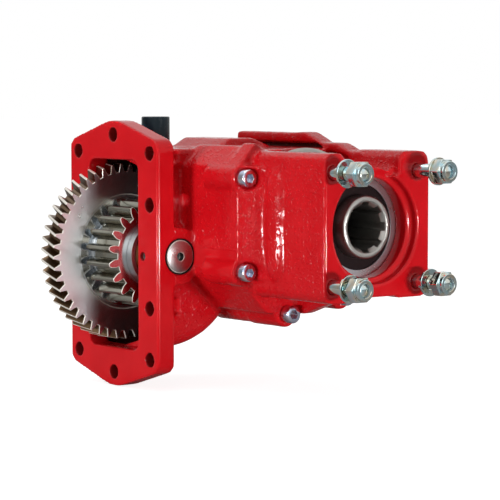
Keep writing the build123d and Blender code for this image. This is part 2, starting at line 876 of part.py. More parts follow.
with BuildPart() as front_rollers:
    with BuildSketch(across(seal_bore_end + front_ring_width - roller_inset)):
        roller_circles(output_centre, front_track, front_roller, front_roller_count)
    extrude(amount=front_ring_width - 2 * roller_inset)
finish(front_rollers, "front_rollers")

with BuildPart() as rear_cage:
    with BuildSketch(across(clutch_room_end + rear_ring_width - cage_inset)):
        cage_ring(output_centre, rear_track, rear_roller)
    extrude(amount=rear_ring_width - 2 * cage_inset)
    with BuildSketch(across(clutch_room_end + rear_ring_width - pocket_inset)):
        cage_pockets(output_centre, rear_track, rear_roller, rear_roller_count)
    extrude(amount=rear_ring_width - 2 * pocket_inset, mode=Mode.SUBTRACT)
finish(rear_cage, "rear_cage")

with BuildPart() as rear_rollers:
    with BuildSketch(across(clutch_room_end + rear_ring_width - roller_inset)):
        roller_circles(output_centre, rear_track, rear_roller, rear_roller_count)
    extrude(amount=rear_ring_width - 2 * roller_inset)
finish(rear_rollers, "rear_rollers")

# The thrust ring between the rear bearing's inner ring and the shoulder of the shaft
with BuildPart() as thrust_ring:
    with BuildSketch(output_plane):
        band(journal_radius, rear_inner_track + 0.5, clutch_room_end, clutch_room_end - 0.6)
        band(journal_radius, hub_seat_radius + 1.5, clutch_room_end - 0.6, hub_seat_start)
    revolve(axis=output_axis)
finish(thrust_ring, "thrust_ring")

# The output drum: the driven gear and the cup that holds the steel discs, on one sleeve
with BuildPart() as output_drum:
    with BuildSketch(output_plane):
        band(bush_radius, drum_radius, drum_web, drum_front)
        band(drum_bore_radius, drum_radius, drum_front, drum_end)
        band(bush_radius, sleeve_radius, drum_web, sleeve_end)
        band(bush_radius, sleeve_radius + 11, driven_front + 1, drum_web)
    revolve(axis=output_axis)
    with BuildSketch(across(driven_front + driven_width)):
        with BuildLine():
            gear_outline(output_centre, driven_teeth, pinion_module, driven_turn, True)
        make_face()
    extrude(amount=driven_width)
    with BuildSketch(output_plane):
        band(0, bush_radius, 0, drum_front)
        band(sleeve_radius - retainer_depth, sleeve_radius + 1, retainer_start, retainer_end)
        band(0, drum_radius - circlip_depth, plate_end, plate_end - circlip_thickness)
    revolve(axis=output_axis, mode=Mode.SUBTRACT)
    with BuildSketch(across(slot_start)):
        with Locations(output_centre):
            with PolarLocations(drum_bore_radius, clutch_slots):
                Rectangle(2 * slot_depth, slot_width)
    extrude(amount=slot_start - drum_end, mode=Mode.SUBTRACT)
finish(output_drum, "output_drum")

with BuildPart() as drum_bush:
    with BuildSketch(output_plane):
        band(hub_seat_radius + running_play, bush_radius, hub_seat_start - 0.4, sleeve_end + 6)
    revolve(axis=output_axis)
finish(drum_bush, "drum_bush")

# The clutch hub, keyed to the shaft, with slots for the tabs of the friction discs
with BuildPart() as clutch_hub:
    with BuildSketch(across(hub_front)):
        with Locations(output_centre):
            Circle(hub_radius_outer)
            Circle(hub_seat_radius, mode=Mode.SUBTRACT)
            with PolarLocations(hub_radius_outer, clutch_slots):
                Rectangle(2 * slot_depth, slot_width, mode=Mode.SUBTRACT)
    extrude(amount=hub_front - hub_end)
finish(clutch_hub, "clutch_hub")

# The pack of discs: steel ones turn with the drum, friction ones with the hub
with BuildPart() as steel_discs:
    for index in range(disc_pairs):
        with BuildSketch(across(hub_front - index * disc_pitch)):
            with Locations(output_centre):
                Circle(drum_bore_radius - slot_play)
                with PolarLocations(drum_bore_radius - 1, clutch_slots):
                    Rectangle(2 * slot_depth + 1, slot_width - 2 * slot_play)
                Circle(hub_radius_outer + 0.7, mode=Mode.SUBTRACT)
        extrude(amount=steel_thickness)
finish(steel_discs, "steel_discs")

with BuildPart() as friction_discs:
    for index in range(disc_pairs):
        with BuildSketch(across(hub_front - steel_thickness - end_gap - index * disc_pitch)):
            with Locations(output_centre):
                Circle(drum_bore_radius - 0.4)
                Circle(hub_radius_outer + slot_play, mode=Mode.SUBTRACT)
                with PolarLocations(hub_radius_outer, clutch_slots):
                    Rectangle(2 * (slot_depth - slot_play), slot_width - 2 * slot_play)
        extrude(amount=friction_thickness)
finish(friction_discs, "friction_discs")

with BuildPart() as pressure_plate:
    with BuildSketch(across(plate_end + plate_thickness)):
        with Locations(output_centre):
            Circle(drum_bore_radius - slot_play)
            with PolarLocations(drum_bore_radius - 1, clutch_slots):
                Rectangle(2 * slot_depth + 1, slot_width - 2 * slot_play)
            Circle(hub_radius_outer + 0.7, mode=Mode.SUBTRACT)
    extrude(amount=plate_thickness)
finish(pressure_plate, "pressure_plate")

with BuildPart() as drum_circlip:
    with BuildSketch(across(plate_end)):
        with Locations(output_centre):
            Circle(drum_radius - circlip_depth)
            Circle(drum_bore_radius - 3, mode=Mode.SUBTRACT)
            with Locations((0, drum_radius)):
                Rectangle(12, 20, mode=Mode.SUBTRACT)
    extrude(amount=circlip_thickness)
finish(drum_circlip, "drum_circlip")

# The ring piston that oil pushes against the discs, and the conical spring that sends it back
with BuildPart() as clutch_piston:
    with BuildSketch(output_plane):
        band(
            sleeve_radius + running_play,
            drum_bore_radius - running_play,
            drum_front - 0.3,
            drum_front - piston_length,
        )
        band(
            piston_nose_inner,
            drum_bore_radius - 1.2,
            drum_front - piston_length,
            piston_nose_end,
        )
    revolve(axis=output_axis)
finish(clutch_piston, "clutch_piston")

with BuildPart() as spring_retainer:
    with BuildSketch(output_plane):
        band(sleeve_radius - retainer_depth, sleeve_radius + 3, retainer_start, retainer_end)
    revolve(axis=output_axis)
finish(spring_retainer, "spring_retainer")

with BuildPart() as return_spring:
    with BuildSketch(output_plane):
        with BuildLine():
            Polyline(
                (sleeve_radius + 0.1, retainer_start),
                (sleeve_radius + 0.1, retainer_start + spring_thickness),
                (piston_nose_inner - 2, spring_rim),
                (piston_nose_inner - 2, spring_rim - spring_thickness),
                close=True,
            )
        make_face()
    revolve(axis=output_axis)
finish(return_spring, "return_spring")

# The shaft seal behind the pilot, and the ring that holds it
with BuildPart() as output_seal:
    with BuildSketch(output_plane):
        band(shaft_radius + running_play, seal_bore_radius, seal_front, seal_front + seal_thickness)
    revolve(axis=output_axis)
finish(output_seal, "output_seal")

with BuildPart() as seal_circlip:
    with BuildSketch(across(seal_front)):
        with Locations(output_centre):
            Circle(seal_ring_groove)
            Circle(seal_ring_inner, mode=Mode.SUBTRACT)
            with Locations((-seal_ring_inner, 0)):
                Rectangle(20, 12, mode=Mode.SUBTRACT)
    extrude(amount=seal_ring_thickness)
finish(seal_circlip, "seal_circlip")

# The six socket screws through the joint flange
with BuildPart() as case_screws:
    with BuildSketch(across(case_joint + screw_grip)):
        with Locations(*screw_points):
            Circle(screw_radius)
    extrude(amount=screw_grip + gasket_thickness + joint_flange_thickness)
    with BuildSketch(across(screw_seat)):
        with Locations(*screw_points):
            Circle(screw_head_radius)
    extrude(amount=screw_head_height)
    chamfer(faces().sort_by(Axis.Y)[0:6].edges(), length=0.6)
    with BuildSketch(across(screw_seat - screw_head_height + 4)):
        with Locations(*screw_points):
            RegularPolygon(screw_socket_flats / 2, 6, major_radius=False)
    extrude(amount=5, mode=Mode.SUBTRACT)
finish(case_screws, "case_screws")

# The four pump studs, with washers and lock nuts run on to their ends
with BuildPart() as pump_studs:
    with BuildSketch(across(pump_face + stud_depth)):
        with Locations(*stud_points):
            Circle(stud_radius)
    extrude(amount=pump_face + stud_depth - stud_tip)
    chamfer(faces().sort_by(Axis.Y)[0:4].edges(), length=1)
finish(pump_studs, "pump_studs")

with BuildPart() as stud_washers:
    for point, station in zip(stud_points, washer_stations):
        with BuildSketch(across(station)):
            with Locations(point):
                Circle(washer_radius)
                Circle(washer_hole_radius, mode=Mode.SUBTRACT)
        extrude(amount=washer_thickness)
finish(stud_washers, "stud_washers")

nut_hex_end = nut_front + nut_collar_height
with BuildPart() as lock_nuts:
    with BuildSketch(across(nut_front + nut_height)):
        with Locations(*stud_points):
            RegularPolygon(nut_flats / 2, 6, major_radius=False)
    extrude(amount=nut_height - nut_collar_height)
    with BuildSketch(across(nut_front + nut_height)):
        with Locations(*stud_points):
            Circle(nut_flats / 2 + 0.9)
    extrude(amount=nut_height - nut_collar_height, taper=-18, mode=Mode.INTERSECT)
    with BuildSketch(across(nut_hex_end)):
        with Locations(*stud_points):
            Circle(nut_collar_radius)
    extrude(amount=nut_collar_height)
    with BuildSketch(across(nut_front + nut_height)):
        with Locations(*stud_points):
            Circle(stud_radius)
    extrude(amount=nut_height, mode=Mode.SUBTRACT)
    with BuildSketch(across(nut_hex_end)):
        with Locations(*stud_points):
            Circle(stud_radius + nut_ring_width)
    extrude(amount=nut_collar_height - 0.5, mode=Mode.SUBTRACT)
finish(lock_nuts, "lock_nuts")

with BuildPart() as nut_rings:
    with BuildSketch(across(nut_hex_end)):
        with Locations(*stud_points):
            Circle(stud_radius + nut_ring_width)
            Circle(stud_radius, mode=Mode.SUBTRACT)
    extrude(amount=nut_collar_height - 0.8)
finish(nut_rings, "nut_rings")

# The domed plug in the top recess
dome_radius = (plug_radius**2 + (plug_rise - plug_rim) ** 2) / (2 * (plug_rise - plug_rim))
plug_middle = plug_rise - dome_radius + sqrt(dome_radius**2 - (plug_radius / 2) ** 2)
plug_plane = Plane(origin=(plug_x, plug_y, plug_seat), x_dir=(1, 0, 0), z_dir=(0, -1, 0))
with BuildPart() as top_plug:
    with BuildSketch(plug_plane):
        with BuildLine():
            Line((0, -plug_depth), (plug_radius, -plug_depth))
            Line((plug_radius, -plug_depth), (plug_radius, plug_rim))
            ThreePointArc((plug_radius, plug_rim), (plug_radius / 2, plug_middle), (0, plug_rise))
            Line((0, plug_rise), (0, -plug_depth))
        make_face()
    revolve(axis=Axis((plug_x, plug_y, 0), (0, 0, 1)))
finish(top_plug, "top_plug")

# The oil port's fitting, and the cap pushed over it for shipping
port_plane = Plane(origin=(port_x, 0, 0), x_dir=(1, 0, 0), z_dir=(0, -1, 0))
port_axis = Axis((port_x, 0, 0), (0, 0, 1))
with BuildPart() as port_fitting:
    with BuildSketch(port_plane):
        band(port_bore, port_radius, port_bottom, neck_top)
        band(port_bore, cap_radius - cap_wall, neck_top, neck_top + 5)
        band(port_bore, port_radius - 3, neck_top + 5, cap_top - 4)
    revolve(axis=port_axis)
finish(port_fitting, "port_fitting")

with BuildPart() as port_cap:
    with BuildSketch(port_plane):
        band(cap_radius - cap_wall, cap_radius, neck_top + 0.4, cap_top)
        band(0, cap_radius - cap_wall / 2, cap_top - cap_wall, cap_top)
    revolve(axis=port_axis)
    fillet(edges().group_by(Axis.Z)[-1], radius=1)
finish(port_cap, "port_cap")
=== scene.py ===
# %% [markdown]
# A power take off unit is bolted to the side of a truck's gearbox. A helical wheel reaches through the
# flange's window into the gearbox, and the splined shaft at the other end turns a hydraulic pump.
# This lesson dresses the unit that the CAD made. Sizes are in metres, and the frame is the CAD's:
# -X looks out of the mounting flange, -Y out of the pump flange, and +Z is up.

import json
from math import radians

import bmesh
import bpy
from mathutils import Matrix, Vector
from mathutils.noise import noise as hump

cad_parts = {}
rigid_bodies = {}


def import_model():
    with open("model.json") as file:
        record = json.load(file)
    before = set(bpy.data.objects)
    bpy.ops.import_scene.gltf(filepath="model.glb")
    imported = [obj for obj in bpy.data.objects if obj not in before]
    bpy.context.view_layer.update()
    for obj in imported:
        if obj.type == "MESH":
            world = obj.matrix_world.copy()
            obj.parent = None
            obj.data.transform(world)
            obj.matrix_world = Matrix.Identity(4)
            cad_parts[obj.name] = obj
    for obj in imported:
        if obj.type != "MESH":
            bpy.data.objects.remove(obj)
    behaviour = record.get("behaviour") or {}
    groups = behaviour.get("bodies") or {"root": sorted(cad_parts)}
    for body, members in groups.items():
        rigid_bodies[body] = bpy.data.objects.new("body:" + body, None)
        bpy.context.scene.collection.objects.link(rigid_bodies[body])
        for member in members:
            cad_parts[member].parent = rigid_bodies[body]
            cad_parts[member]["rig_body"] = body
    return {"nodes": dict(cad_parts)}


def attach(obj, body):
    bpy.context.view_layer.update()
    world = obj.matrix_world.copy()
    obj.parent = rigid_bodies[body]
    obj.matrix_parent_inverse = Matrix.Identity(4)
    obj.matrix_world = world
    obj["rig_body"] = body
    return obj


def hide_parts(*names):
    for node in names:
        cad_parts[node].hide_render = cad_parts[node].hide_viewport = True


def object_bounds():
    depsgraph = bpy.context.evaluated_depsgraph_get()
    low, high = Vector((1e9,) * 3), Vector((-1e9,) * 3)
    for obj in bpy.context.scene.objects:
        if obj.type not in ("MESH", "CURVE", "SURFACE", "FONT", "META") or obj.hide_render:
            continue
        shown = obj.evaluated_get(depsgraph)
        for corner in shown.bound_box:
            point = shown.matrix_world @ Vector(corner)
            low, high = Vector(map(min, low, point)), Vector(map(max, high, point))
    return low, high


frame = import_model()
nodes = frame["nodes"]
body_of_node = {name: node["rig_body"] for name, node in nodes.items()}
cad_low, cad_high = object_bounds()
print("nodes", len(nodes), "box", [round(v, 3) for v in (*cad_low, *cad_high)])

# %% [markdown]
# The camera comes first, because every later choice is judged through it. The picture was taken from
# far away with a long lens, so the sides of the castings hardly converge. A camera can be placed by
# eye, but here its place was worked out from the bolt holes and studs, whose real spacing is known.

# %% The camera
camera_place = (-0.93718, -1.31962, 0.12326)
camera_tilt, camera_turn = radians(90 - 4.27), radians(-39.02)
camera_data = bpy.data.cameras.new("view")
camera_data.sensor_width = 36.0
camera_data.lens = 155.49
camera_data.clip_start = 0.1
camera_data.clip_end = 50.0
camera = bpy.data.objects.new("view", camera_data)
camera.location = camera_place
camera.rotation_euler = (camera_tilt, 0, camera_turn)
bpy.context.scene.collection.objects.link(camera)
bpy.context.scene.camera = camera
print("camera", [round(v, 3) for v in camera.location])

# %% [markdown]
# A product picture on white needs a pale floor and a plain soft studio. The world is white to the
# camera, a pale grey to surfaces that mirror it, and weak as a lamp, so the background is clean while
# the paint keeps its depth. To the left, behind the flange, its mirror image is a dim grey: bright metal
# looks like metal only where it has something dark to mirror beside something light.

# %% The world
as_a_lamp, in_mirrors = 0.3, 0.85
dark_side, dark_from, dark_to = (-0.80, 0.60, -0.10), 0.55, 0.85
world = bpy.data.worlds.new("studio")
world.use_nodes = True
bpy.context.scene.world = world
bpy.context.scene.view_settings.view_transform = "Standard"
world_tree = world.node_tree
world_light = world_tree.nodes["Background"]
world_light.inputs["Color"].default_value = (1.0, 1.0, 1.0, 1.0)
path = world_tree.nodes.new("ShaderNodeLightPath")
seen = world_tree.nodes.new("ShaderNodeMath")
seen.operation = "MAXIMUM"
world_tree.links.new(path.outputs["Is Camera Ray"], seen.inputs[0])
level = world_tree.nodes.new("ShaderNodeMapRange")
level.inputs["To Min"].default_value = as_a_lamp
level.inputs["To Max"].default_value = 1.0
world_tree.links.new(seen.outputs["Value"], level.inputs["Value"])
world_tree.links.new(level.outputs["Result"], world_light.inputs["Strength"])
direction = world_tree.nodes.new("ShaderNodeTexCoord")
leftward = world_tree.nodes.new("ShaderNodeVectorMath")
leftward.operation = "DOT_PRODUCT"
leftward.inputs[1].default_value = dark_side
world_tree.links.new(direction.outputs["Generated"], leftward.inputs[0])
mirrored = world_tree.nodes.new("ShaderNodeMapRange")
mirrored.inputs["From Min"].default_value = dark_from
mirrored.inputs["From Max"].default_value = dark_to
mirrored.inputs["To Min"].default_value = in_mirrors
mirrored.inputs["To Max"].default_value = 0.0
world_tree.links.new(leftward.outputs["Value"], mirrored.inputs["Value"])
glossy = world_tree.nodes.new("ShaderNodeMath")
glossy.operation = "MULTIPLY"
world_tree.links.new(path.outputs["Is Glossy Ray"], glossy.inputs[0])
world_tree.links.new(mirrored.outputs["Result"], glossy.inputs[1])
world_tree.links.new(glossy.outputs["Value"], seen.inputs[1])
print("world", as_a_lamp, "as a lamp and", in_mirrors, "in mirrors")

# %% [markdown]
# Lamps: a large soft panel above, and two small ones low down, far to the left and to the right of the
# camera. Seen in a rounded upright edge, each of the two is a thin bright line, and the flange throws a
# soft-edged shadow on the wall behind it. Two weak fills keep the upper sides from going dark.

# %% The lamps
aim = Vector((0.06, -0.09, 0.0))
key_width, key_height, key_level = 0.2, 0.05, -0.064


def panel(name, place, width, height, power):
    """A rectangular lamp at a place, turned to face the object, with its power in watts."""
    data = bpy.data.lights.new(name, "AREA")
    data.shape = "RECTANGLE"
    data.size = width
    data.size_y = height
    data.energy = power
    lamp = bpy.data.objects.new(name, data)
    lamp.location = place
    lamp.rotation_euler = (aim - Vector(place)).to_track_quat("-Z", "Y").to_euler()
    bpy.context.scene.collection.objects.link(lamp)


panel("top_panel", (-0.1, 0.1, 1.5), 1.2, 1.2, power=8.5)
panel("left_key", (-0.93, -0.10, key_level), key_width, key_height, power=4.3)
panel("right_key", (0.17, -1.08, key_level), key_width, key_height, power=4.8)
panel("camera_panel", (-1.1, -1.25, 0.7), 0.8, 0.8, power=2.0)
panel("left_fill", (-1.3, -0.05, 0.6), 0.4, 0.4, power=2.0)

# %% [markdown]
# The unit was wiped clean and stands on white. The floor is a wide, pale grey sheet just under the lowest
# point of the flange. For the camera alone it also glows, so that it shows as white, as the world does,
# and still keeps a faint shadow of the object. That glow lights nothing.

# %% The floor
floor_reach, floor_gap = 12.0, 0.0002
floor_grey, floor_glow = 0.50, 0.86
floor_mesh = bpy.data.meshes.new("floor")
bm = bmesh.new()
bmesh.ops.create_grid(bm, x_segments=1, y_segments=1, size=floor_reach)
bmesh.ops.translate(bm, verts=bm.verts, vec=(0, 0, cad_low.z - floor_gap))
bm.to_mesh(floor_mesh)
bm.free()
floor = bpy.data.objects.new("floor", floor_mesh)
bpy.context.scene.collection.objects.link(floor)
paper = bpy.data.materials.new("paper")
paper.use_nodes = True
paper_shader = paper.node_tree.nodes["Principled BSDF"]
paper_shader.inputs["Base Color"].default_value = (floor_grey, floor_grey, floor_grey, 1)
paper_shader.inputs["Roughness"].default_value = 0.9
paper_shader.inputs["Specular IOR Level"].default_value = 0.1
floor_path = paper.node_tree.nodes.new("ShaderNodeLightPath")
floor_seen = paper.node_tree.nodes.new("ShaderNodeMapRange")
floor_seen.inputs["To Max"].default_value = floor_glow
paper_shader.inputs["Emission Color"].default_value = (1, 1, 1, 1)
paper.node_tree.links.new(floor_path.outputs["Is Camera Ray"], floor_seen.inputs["Value"])
paper.node_tree.links.new(floor_seen.outputs["Result"], paper_shader.inputs["Emission Strength"])
floor_mesh.materials.append(paper)
print("floor at", round(cad_low.z, 4))

# %% [markdown]
# Finishes are built from small node groups of the same kind: a shader, some noise that varies its
# roughness and colour, and a bump. Helpers make the parts that they share, and each finish then adds
# what only it has. Every pattern reads Object coordinates, so that it stays on the piece.

# %% Helpers for finishes
def finish(name, colour, metallic, roughness):
    """A new material, with its tree, its shader and Object coordinates."""
    material = bpy.data.materials.new(name)
    material.use_nodes = True
    tree = material.node_tree
    shader = tree.nodes["Principled BSDF"]
    shader.inputs["Base Color"].default_value = (*colour, 1)
    shader.inputs["Metallic"].default_value = metallic
    shader.inputs["Roughness"].default_value = roughness
    place = tree.nodes.new("ShaderNodeTexCoord")
    return material, tree, shader, place.outputs["Object"]


def noise(tree, place, scale, detail):
    """A noise pattern of a given scale, in cycles per metre."""
    node = tree.nodes.new("ShaderNodeTexNoise")
    node.inputs["Scale"].default_value = scale
    node.inputs["Detail"].default_value = detail
    tree.links.new(place, node.inputs["Vector"])
    return node.outputs["Fac"]


def spread(tree, value, low, high, start=0.0, end=1.0):
    """Maps a value from start..end to low..high."""
    node = tree.nodes.new("ShaderNodeMapRange")
    node.inputs["From Min"].default_value = start
    node.inputs["From Max"].default_value = end
    node.inputs["To Min"].default_value = low
    node.inputs["To Max"].default_value = high
    tree.links.new(value, node.inputs["Value"])
    return node.outputs["Result"]


def bump(tree, height, distance, strength, under=None):
    """Turns a height pattern into a bump, on top of another bump if one is given."""
    node = tree.nodes.new("ShaderNodeBump")
    node.inputs["Distance"].default_value = distance
    node.inputs["Strength"].default_value = strength
    tree.links.new(height, node.inputs["Height"])
    if under is not None:
        tree.links.new(under, node.inputs["Normal"])
    return node.outputs["Normal"]


def carried(tree, name):
    """A value that the piece carries at its points."""
    node = tree.nodes.new("ShaderNodeAttribute")
    node.attribute_name = name
    return node.outputs["Fac"]


def times(tree, first, second):
    """The product of two values."""
    node = tree.nodes.new("ShaderNodeMath")
    node.operation = "MULTIPLY"
    tree.links.new(first, node.inputs[0])
    tree.links.new(second, node.inputs[1])
    return node.outputs["Value"]


def blended(tree, value, first, second):
    """A colour between two, each a plain colour or another node's colour, by a value from 0 to 1."""
    node = tree.nodes.new("ShaderNodeMix")
    node.data_type = "RGBA"
    for socket, colour in (("A", first), ("B", second)):
        if isinstance(colour, tuple):
            node.inputs[socket].default_value = (*colour, 1)
        else:
            tree.links.new(colour, node.inputs[socket])
    tree.links.new(value, node.inputs["Factor"])
    return node.outputs["Result"]


print("helpers for finishes are ready")

# %% [markdown]
# The castings are dipped or sprayed with red enamel, straight over the sand-cast skin. Close up the
# skin is pebbled, and the paint fills its hollows and shines on its tops. Machined faces are flat under
# the same paint. The bolt holes, the gear chamber and the slot under the arm turn dark brown instead:
# in the holes and the chamber this is partly bare, oily iron and partly painted shade, and in the slot
# under the arm it is painted shade alone. The castings carry two values at their points for this:
# as_cast is 1 on the cast skin, and the other is the share of that dark brown, from bare iron and
# painted shade.

# %% Red enamel
# The third colour is dark brown: bare, oily iron in the holes and the chamber, and painted shade there and in
# the slot under the arm.
deep_red, light_red, oily_iron_and_shade = (0.58, 0.0045, 0.009), (0.64, 0.007, 0.012), (0.045, 0.008, 0.007)
enamel, tree, shader, place = finish("red_enamel", (0.60, 0.006, 0.010), 0.0, 0.16)
shader.inputs["Specular IOR Level"].default_value = 0.2
as_cast = carried(tree, "as_cast")
grain = noise(tree, place, scale=380, detail=2)
pebbles = spread(tree, grain, 0.0, 1.0, start=0.52, end=0.74)
swell = times(tree, noise(tree, place, scale=60, detail=2), as_cast)
waves = bump(tree, swell, distance=0.0012, strength=0.3)
skin = bump(tree, times(tree, pebbles, as_cast), distance=0.0006, strength=0.7, under=waves)
peel = bump(tree, noise(tree, place, scale=700, detail=1), distance=0.00006, strength=0.25, under=skin)
tree.links.new(peel, shader.inputs["Normal"])
gloss = spread(tree, noise(tree, place, scale=150, detail=4), low=0.06, high=0.18)
tree.links.new(gloss, shader.inputs["Roughness"])
shade = spread(tree, noise(tree, place, scale=35, detail=3), 0.0, 1.0, start=0.35, end=0.7)
painted = blended(tree, shade, deep_red, light_red)
# The red gives way to the dark brown of bare iron and painted shade where the points carry it.
tree.links.new(blended(tree, carried(tree, "bored"), painted, oily_iron_and_shade), shader.inputs["Base Color"])
print("finish", enamel.name)

# %% [markdown]
# The wheel and pinion are hobbed, hardened steel. Their faces were turned in a lathe, which leaves fine
# rings about the shaft, and their tooth flanks carry a brown film of oil, coloured further with painted
# reflection and shade. The rings are a noise of the distance from the shaft's axis. The film lies where
# the surface doesn't face along the shaft, past the foot of the teeth. The chamfers at the ends of the
# teeth, the tops of the wheel's teeth and the rim of the hollow in the wheel's face are painted a dull,
# less metallic white, as a highlight along those edges.

# %% Turned steel
# The flanks' brown stands for an oil film and for painted reflection and shade: lighter near the axis, darker
# past 50 mm from it.
thin_oil_and_reflection, dark_oil_and_shade, flank_darkens = (0.34, 0.32, 0.26), (0.17, 0.105, 0.058), (0.045, 0.050)
# The dull white is a painted highlight, with its share on the rim and on the tooth tops.
painted_highlight_white, rim_highlight_share, top_highlight_share = (0.90, 0.86, 0.78), 0.7, 0.9
foot_fade, rim_half, rim_core, top_from, top_full = 0.0006, 0.0005, 0.0001, 0.0003, 0.0002
rougher, smoother, finer_share, finer_fade = 0.1, 0.07, 0.6, 0.001
# How far a surface faces along the shaft, from 0 to 1, where flanks end and chamfers start and end.
flank_end, chamfer_start, chamfer_end = (0.45, 0.58), (0.58, 0.64), (0.84, 0.90)


def turned_steel(
    name, centre, colour, stain, roughness, film_and_shade_past=1.0, film_and_shade=thin_oil_and_reflection, rim=1.0, top=1.0, smooth_to=0.0
):
    """Metal with lathe rings about an axis along Y through a centre (x, z), flanks past a radius in oil and
    painted reflection and shade, a painted highlight on the chamfers, on a rim and past a top radius, and
    a finer finish up to a radius."""
    material, tree, shader, place = finish(name, colour, 1.0, roughness)
    shift = tree.nodes.new("ShaderNodeMapping")
    shift.inputs["Location"].default_value = (-centre[0], 0, -centre[1])
    tree.links.new(place, shift.inputs["Vector"])
    flat = tree.nodes.new("ShaderNodeVectorMath")
    flat.operation = "MULTIPLY"
    flat.inputs[1].default_value = (1, 0, 1)
    tree.links.new(shift.outputs["Vector"], flat.inputs[0])
    length = tree.nodes.new("ShaderNodeVectorMath")
    length.operation = "LENGTH"
    tree.links.new(flat.outputs["Vector"], length.inputs[0])
    radius = length.outputs["Value"]
    rings = tree.nodes.new("ShaderNodeTexNoise")
    rings.noise_dimensions = "1D"
    rings.inputs["Scale"].default_value = 1800
    rings.inputs["Detail"].default_value = 3
    tree.links.new(radius, rings.inputs["W"])
    grooves = bump(tree, rings.outputs["Fac"], distance=0.00003, strength=0.35)
    tree.links.new(grooves, shader.inputs["Normal"])
    cloud = noise(tree, place, scale=70, detail=4)
    finer = spread(tree, radius, finer_share, 1.0, start=smooth_to - finer_fade, end=smooth_to)
    uneven = spread(tree, cloud, low=roughness - smoother, high=roughness + rougher)
    tree.links.new(times(tree, uneven, finer), shader.inputs["Roughness"])
    facing = tree.nodes.new("ShaderNodeTexCoord")
    split = tree.nodes.new("ShaderNodeSeparateXYZ")
    tree.links.new(facing.outputs["Normal"], split.inputs["Vector"])
    absolute = tree.nodes.new("ShaderNodeMath")
    absolute.operation = "ABSOLUTE"
    tree.links.new(split.outputs["Y"], absolute.inputs[0])
    along = absolute.outputs["Value"]
    toothed = spread(tree, radius, 0.0, 1.0, start=film_and_shade_past - foot_fade, end=film_and_shade_past + foot_fade)
    bare = blended(tree, spread(tree, cloud, 0, 1, start=0.35, end=0.7), colour, stain)
    # The flank colour, oil film and painted reflection and shade, grows darker outwards.
    oil_and_reflection = blended(tree, spread(tree, radius, 0.0, 1.0, *flank_darkens), film_and_shade, dark_oil_and_shade)
    flank = times(tree, spread(tree, along, 1.0, 0.0, *flank_end), toothed)
    oil_and_reflection_on_flanks = blended(tree, flank, bare, oil_and_reflection)
    # The chamfers, and on the wheel its rim and tooth tops, get a painted highlight of dull, less metallic
    # white.
    chamfer = times(
        tree,
        spread(tree, along, 0.0, 1.0, *chamfer_start),
        spread(tree, along, 1.0, 0.0, *chamfer_end),
    )
    painted_highlight = times(tree, chamfer, toothed)
    painted_highlight_rim = times(
        tree,
        spread(tree, radius, 0.0, rim_highlight_share, start=rim - rim_half, end=rim - rim_core),
        spread(tree, radius, 1.0, 0.0, start=rim + rim_core, end=rim + rim_half),
    )
    painted_highlight_top = spread(tree, radius, 0.0, top_highlight_share, start=top - top_from, end=top - top_full)
    for also in (painted_highlight_rim, painted_highlight_top):
        larger = tree.nodes.new("ShaderNodeMath")
        larger.operation = "MAXIMUM"
        tree.links.new(painted_highlight, larger.inputs[0])
        tree.links.new(also, larger.inputs[1])
        painted_highlight = larger.outputs["Value"]
    tree.links.new(blended(tree, painted_highlight, oil_and_reflection_on_flanks, painted_highlight_white), shader.inputs["Base Color"])
    tree.links.new(spread(tree, painted_highlight, low=1.0, high=0.3), shader.inputs["Metallic"])
    return material


idler_centre = (0.021, 0.0)
output_centre = (0.095, 0.024658)
gear_steel = turned_steel(
    "gear_steel",
    idler_centre,
    (0.66, 0.70, 0.72),
    (0.58, 0.59, 0.61),
    0.29,
    film_and_shade_past=0.031,
    rim=0.0435,
    top=0.0666,
    smooth_to=0.0415,
)
drum_steel = turned_steel("drum_steel", output_centre, (0.48, 0.48, 0.49), (0.40, 0.37, 0.32), 0.32)
shaft_steel = turned_steel("shaft_steel", output_centre, (0.42, 0.41, 0.39), (0.35, 0.33, 0.31), 0.34)
# On the idler shaft the flank colour is near black, a painted shade on its sides and in the hole in its end.
idler_shaft_steel = turned_steel(
    "idler_shaft_steel",
    idler_centre,
    (0.42, 0.40, 0.40),
    (0.35, 0.33, 0.33),
    0.27,
    film_and_shade_past=0.0,
    film_and_shade=(0.05, 0.05, 0.05),
)
ring_steel = turned_steel("ring_steel", output_centre, (0.60, 0.58, 0.60), (0.48, 0.46, 0.50), 0.28)
print("finishes", len(bpy.data.materials))

# %% [markdown]
# Studs, nuts, washers and screws are zinc plated. The plating is bright, and it shows faint yellow,
# blue and pink patches where the chromate on it is thicker. A slow noise picks between these tints.

# %% Zinc plate
def plated(name, base, warm, cold, roughness):
    """Bright plating with slow patches of a warm and a cold tint."""
    material, tree, shader, place = finish(name, base, 1.0, roughness)
    slow = noise(tree, place, scale=160, detail=1)
    tint = blended(tree, spread(tree, slow, 0, 1, start=0.35, end=0.65), warm, cold)
    tree.links.new(tint, shader.inputs["Base Color"])
    fine = noise(tree, place, scale=1400, detail=2)
    uneven = spread(tree, fine, low=roughness - 0.05, high=roughness + 0.08)
    tree.links.new(uneven, shader.inputs["Roughness"])
    tree.links.new(bump(tree, fine, distance=0.00002, strength=0.3), shader.inputs["Normal"])
    return material


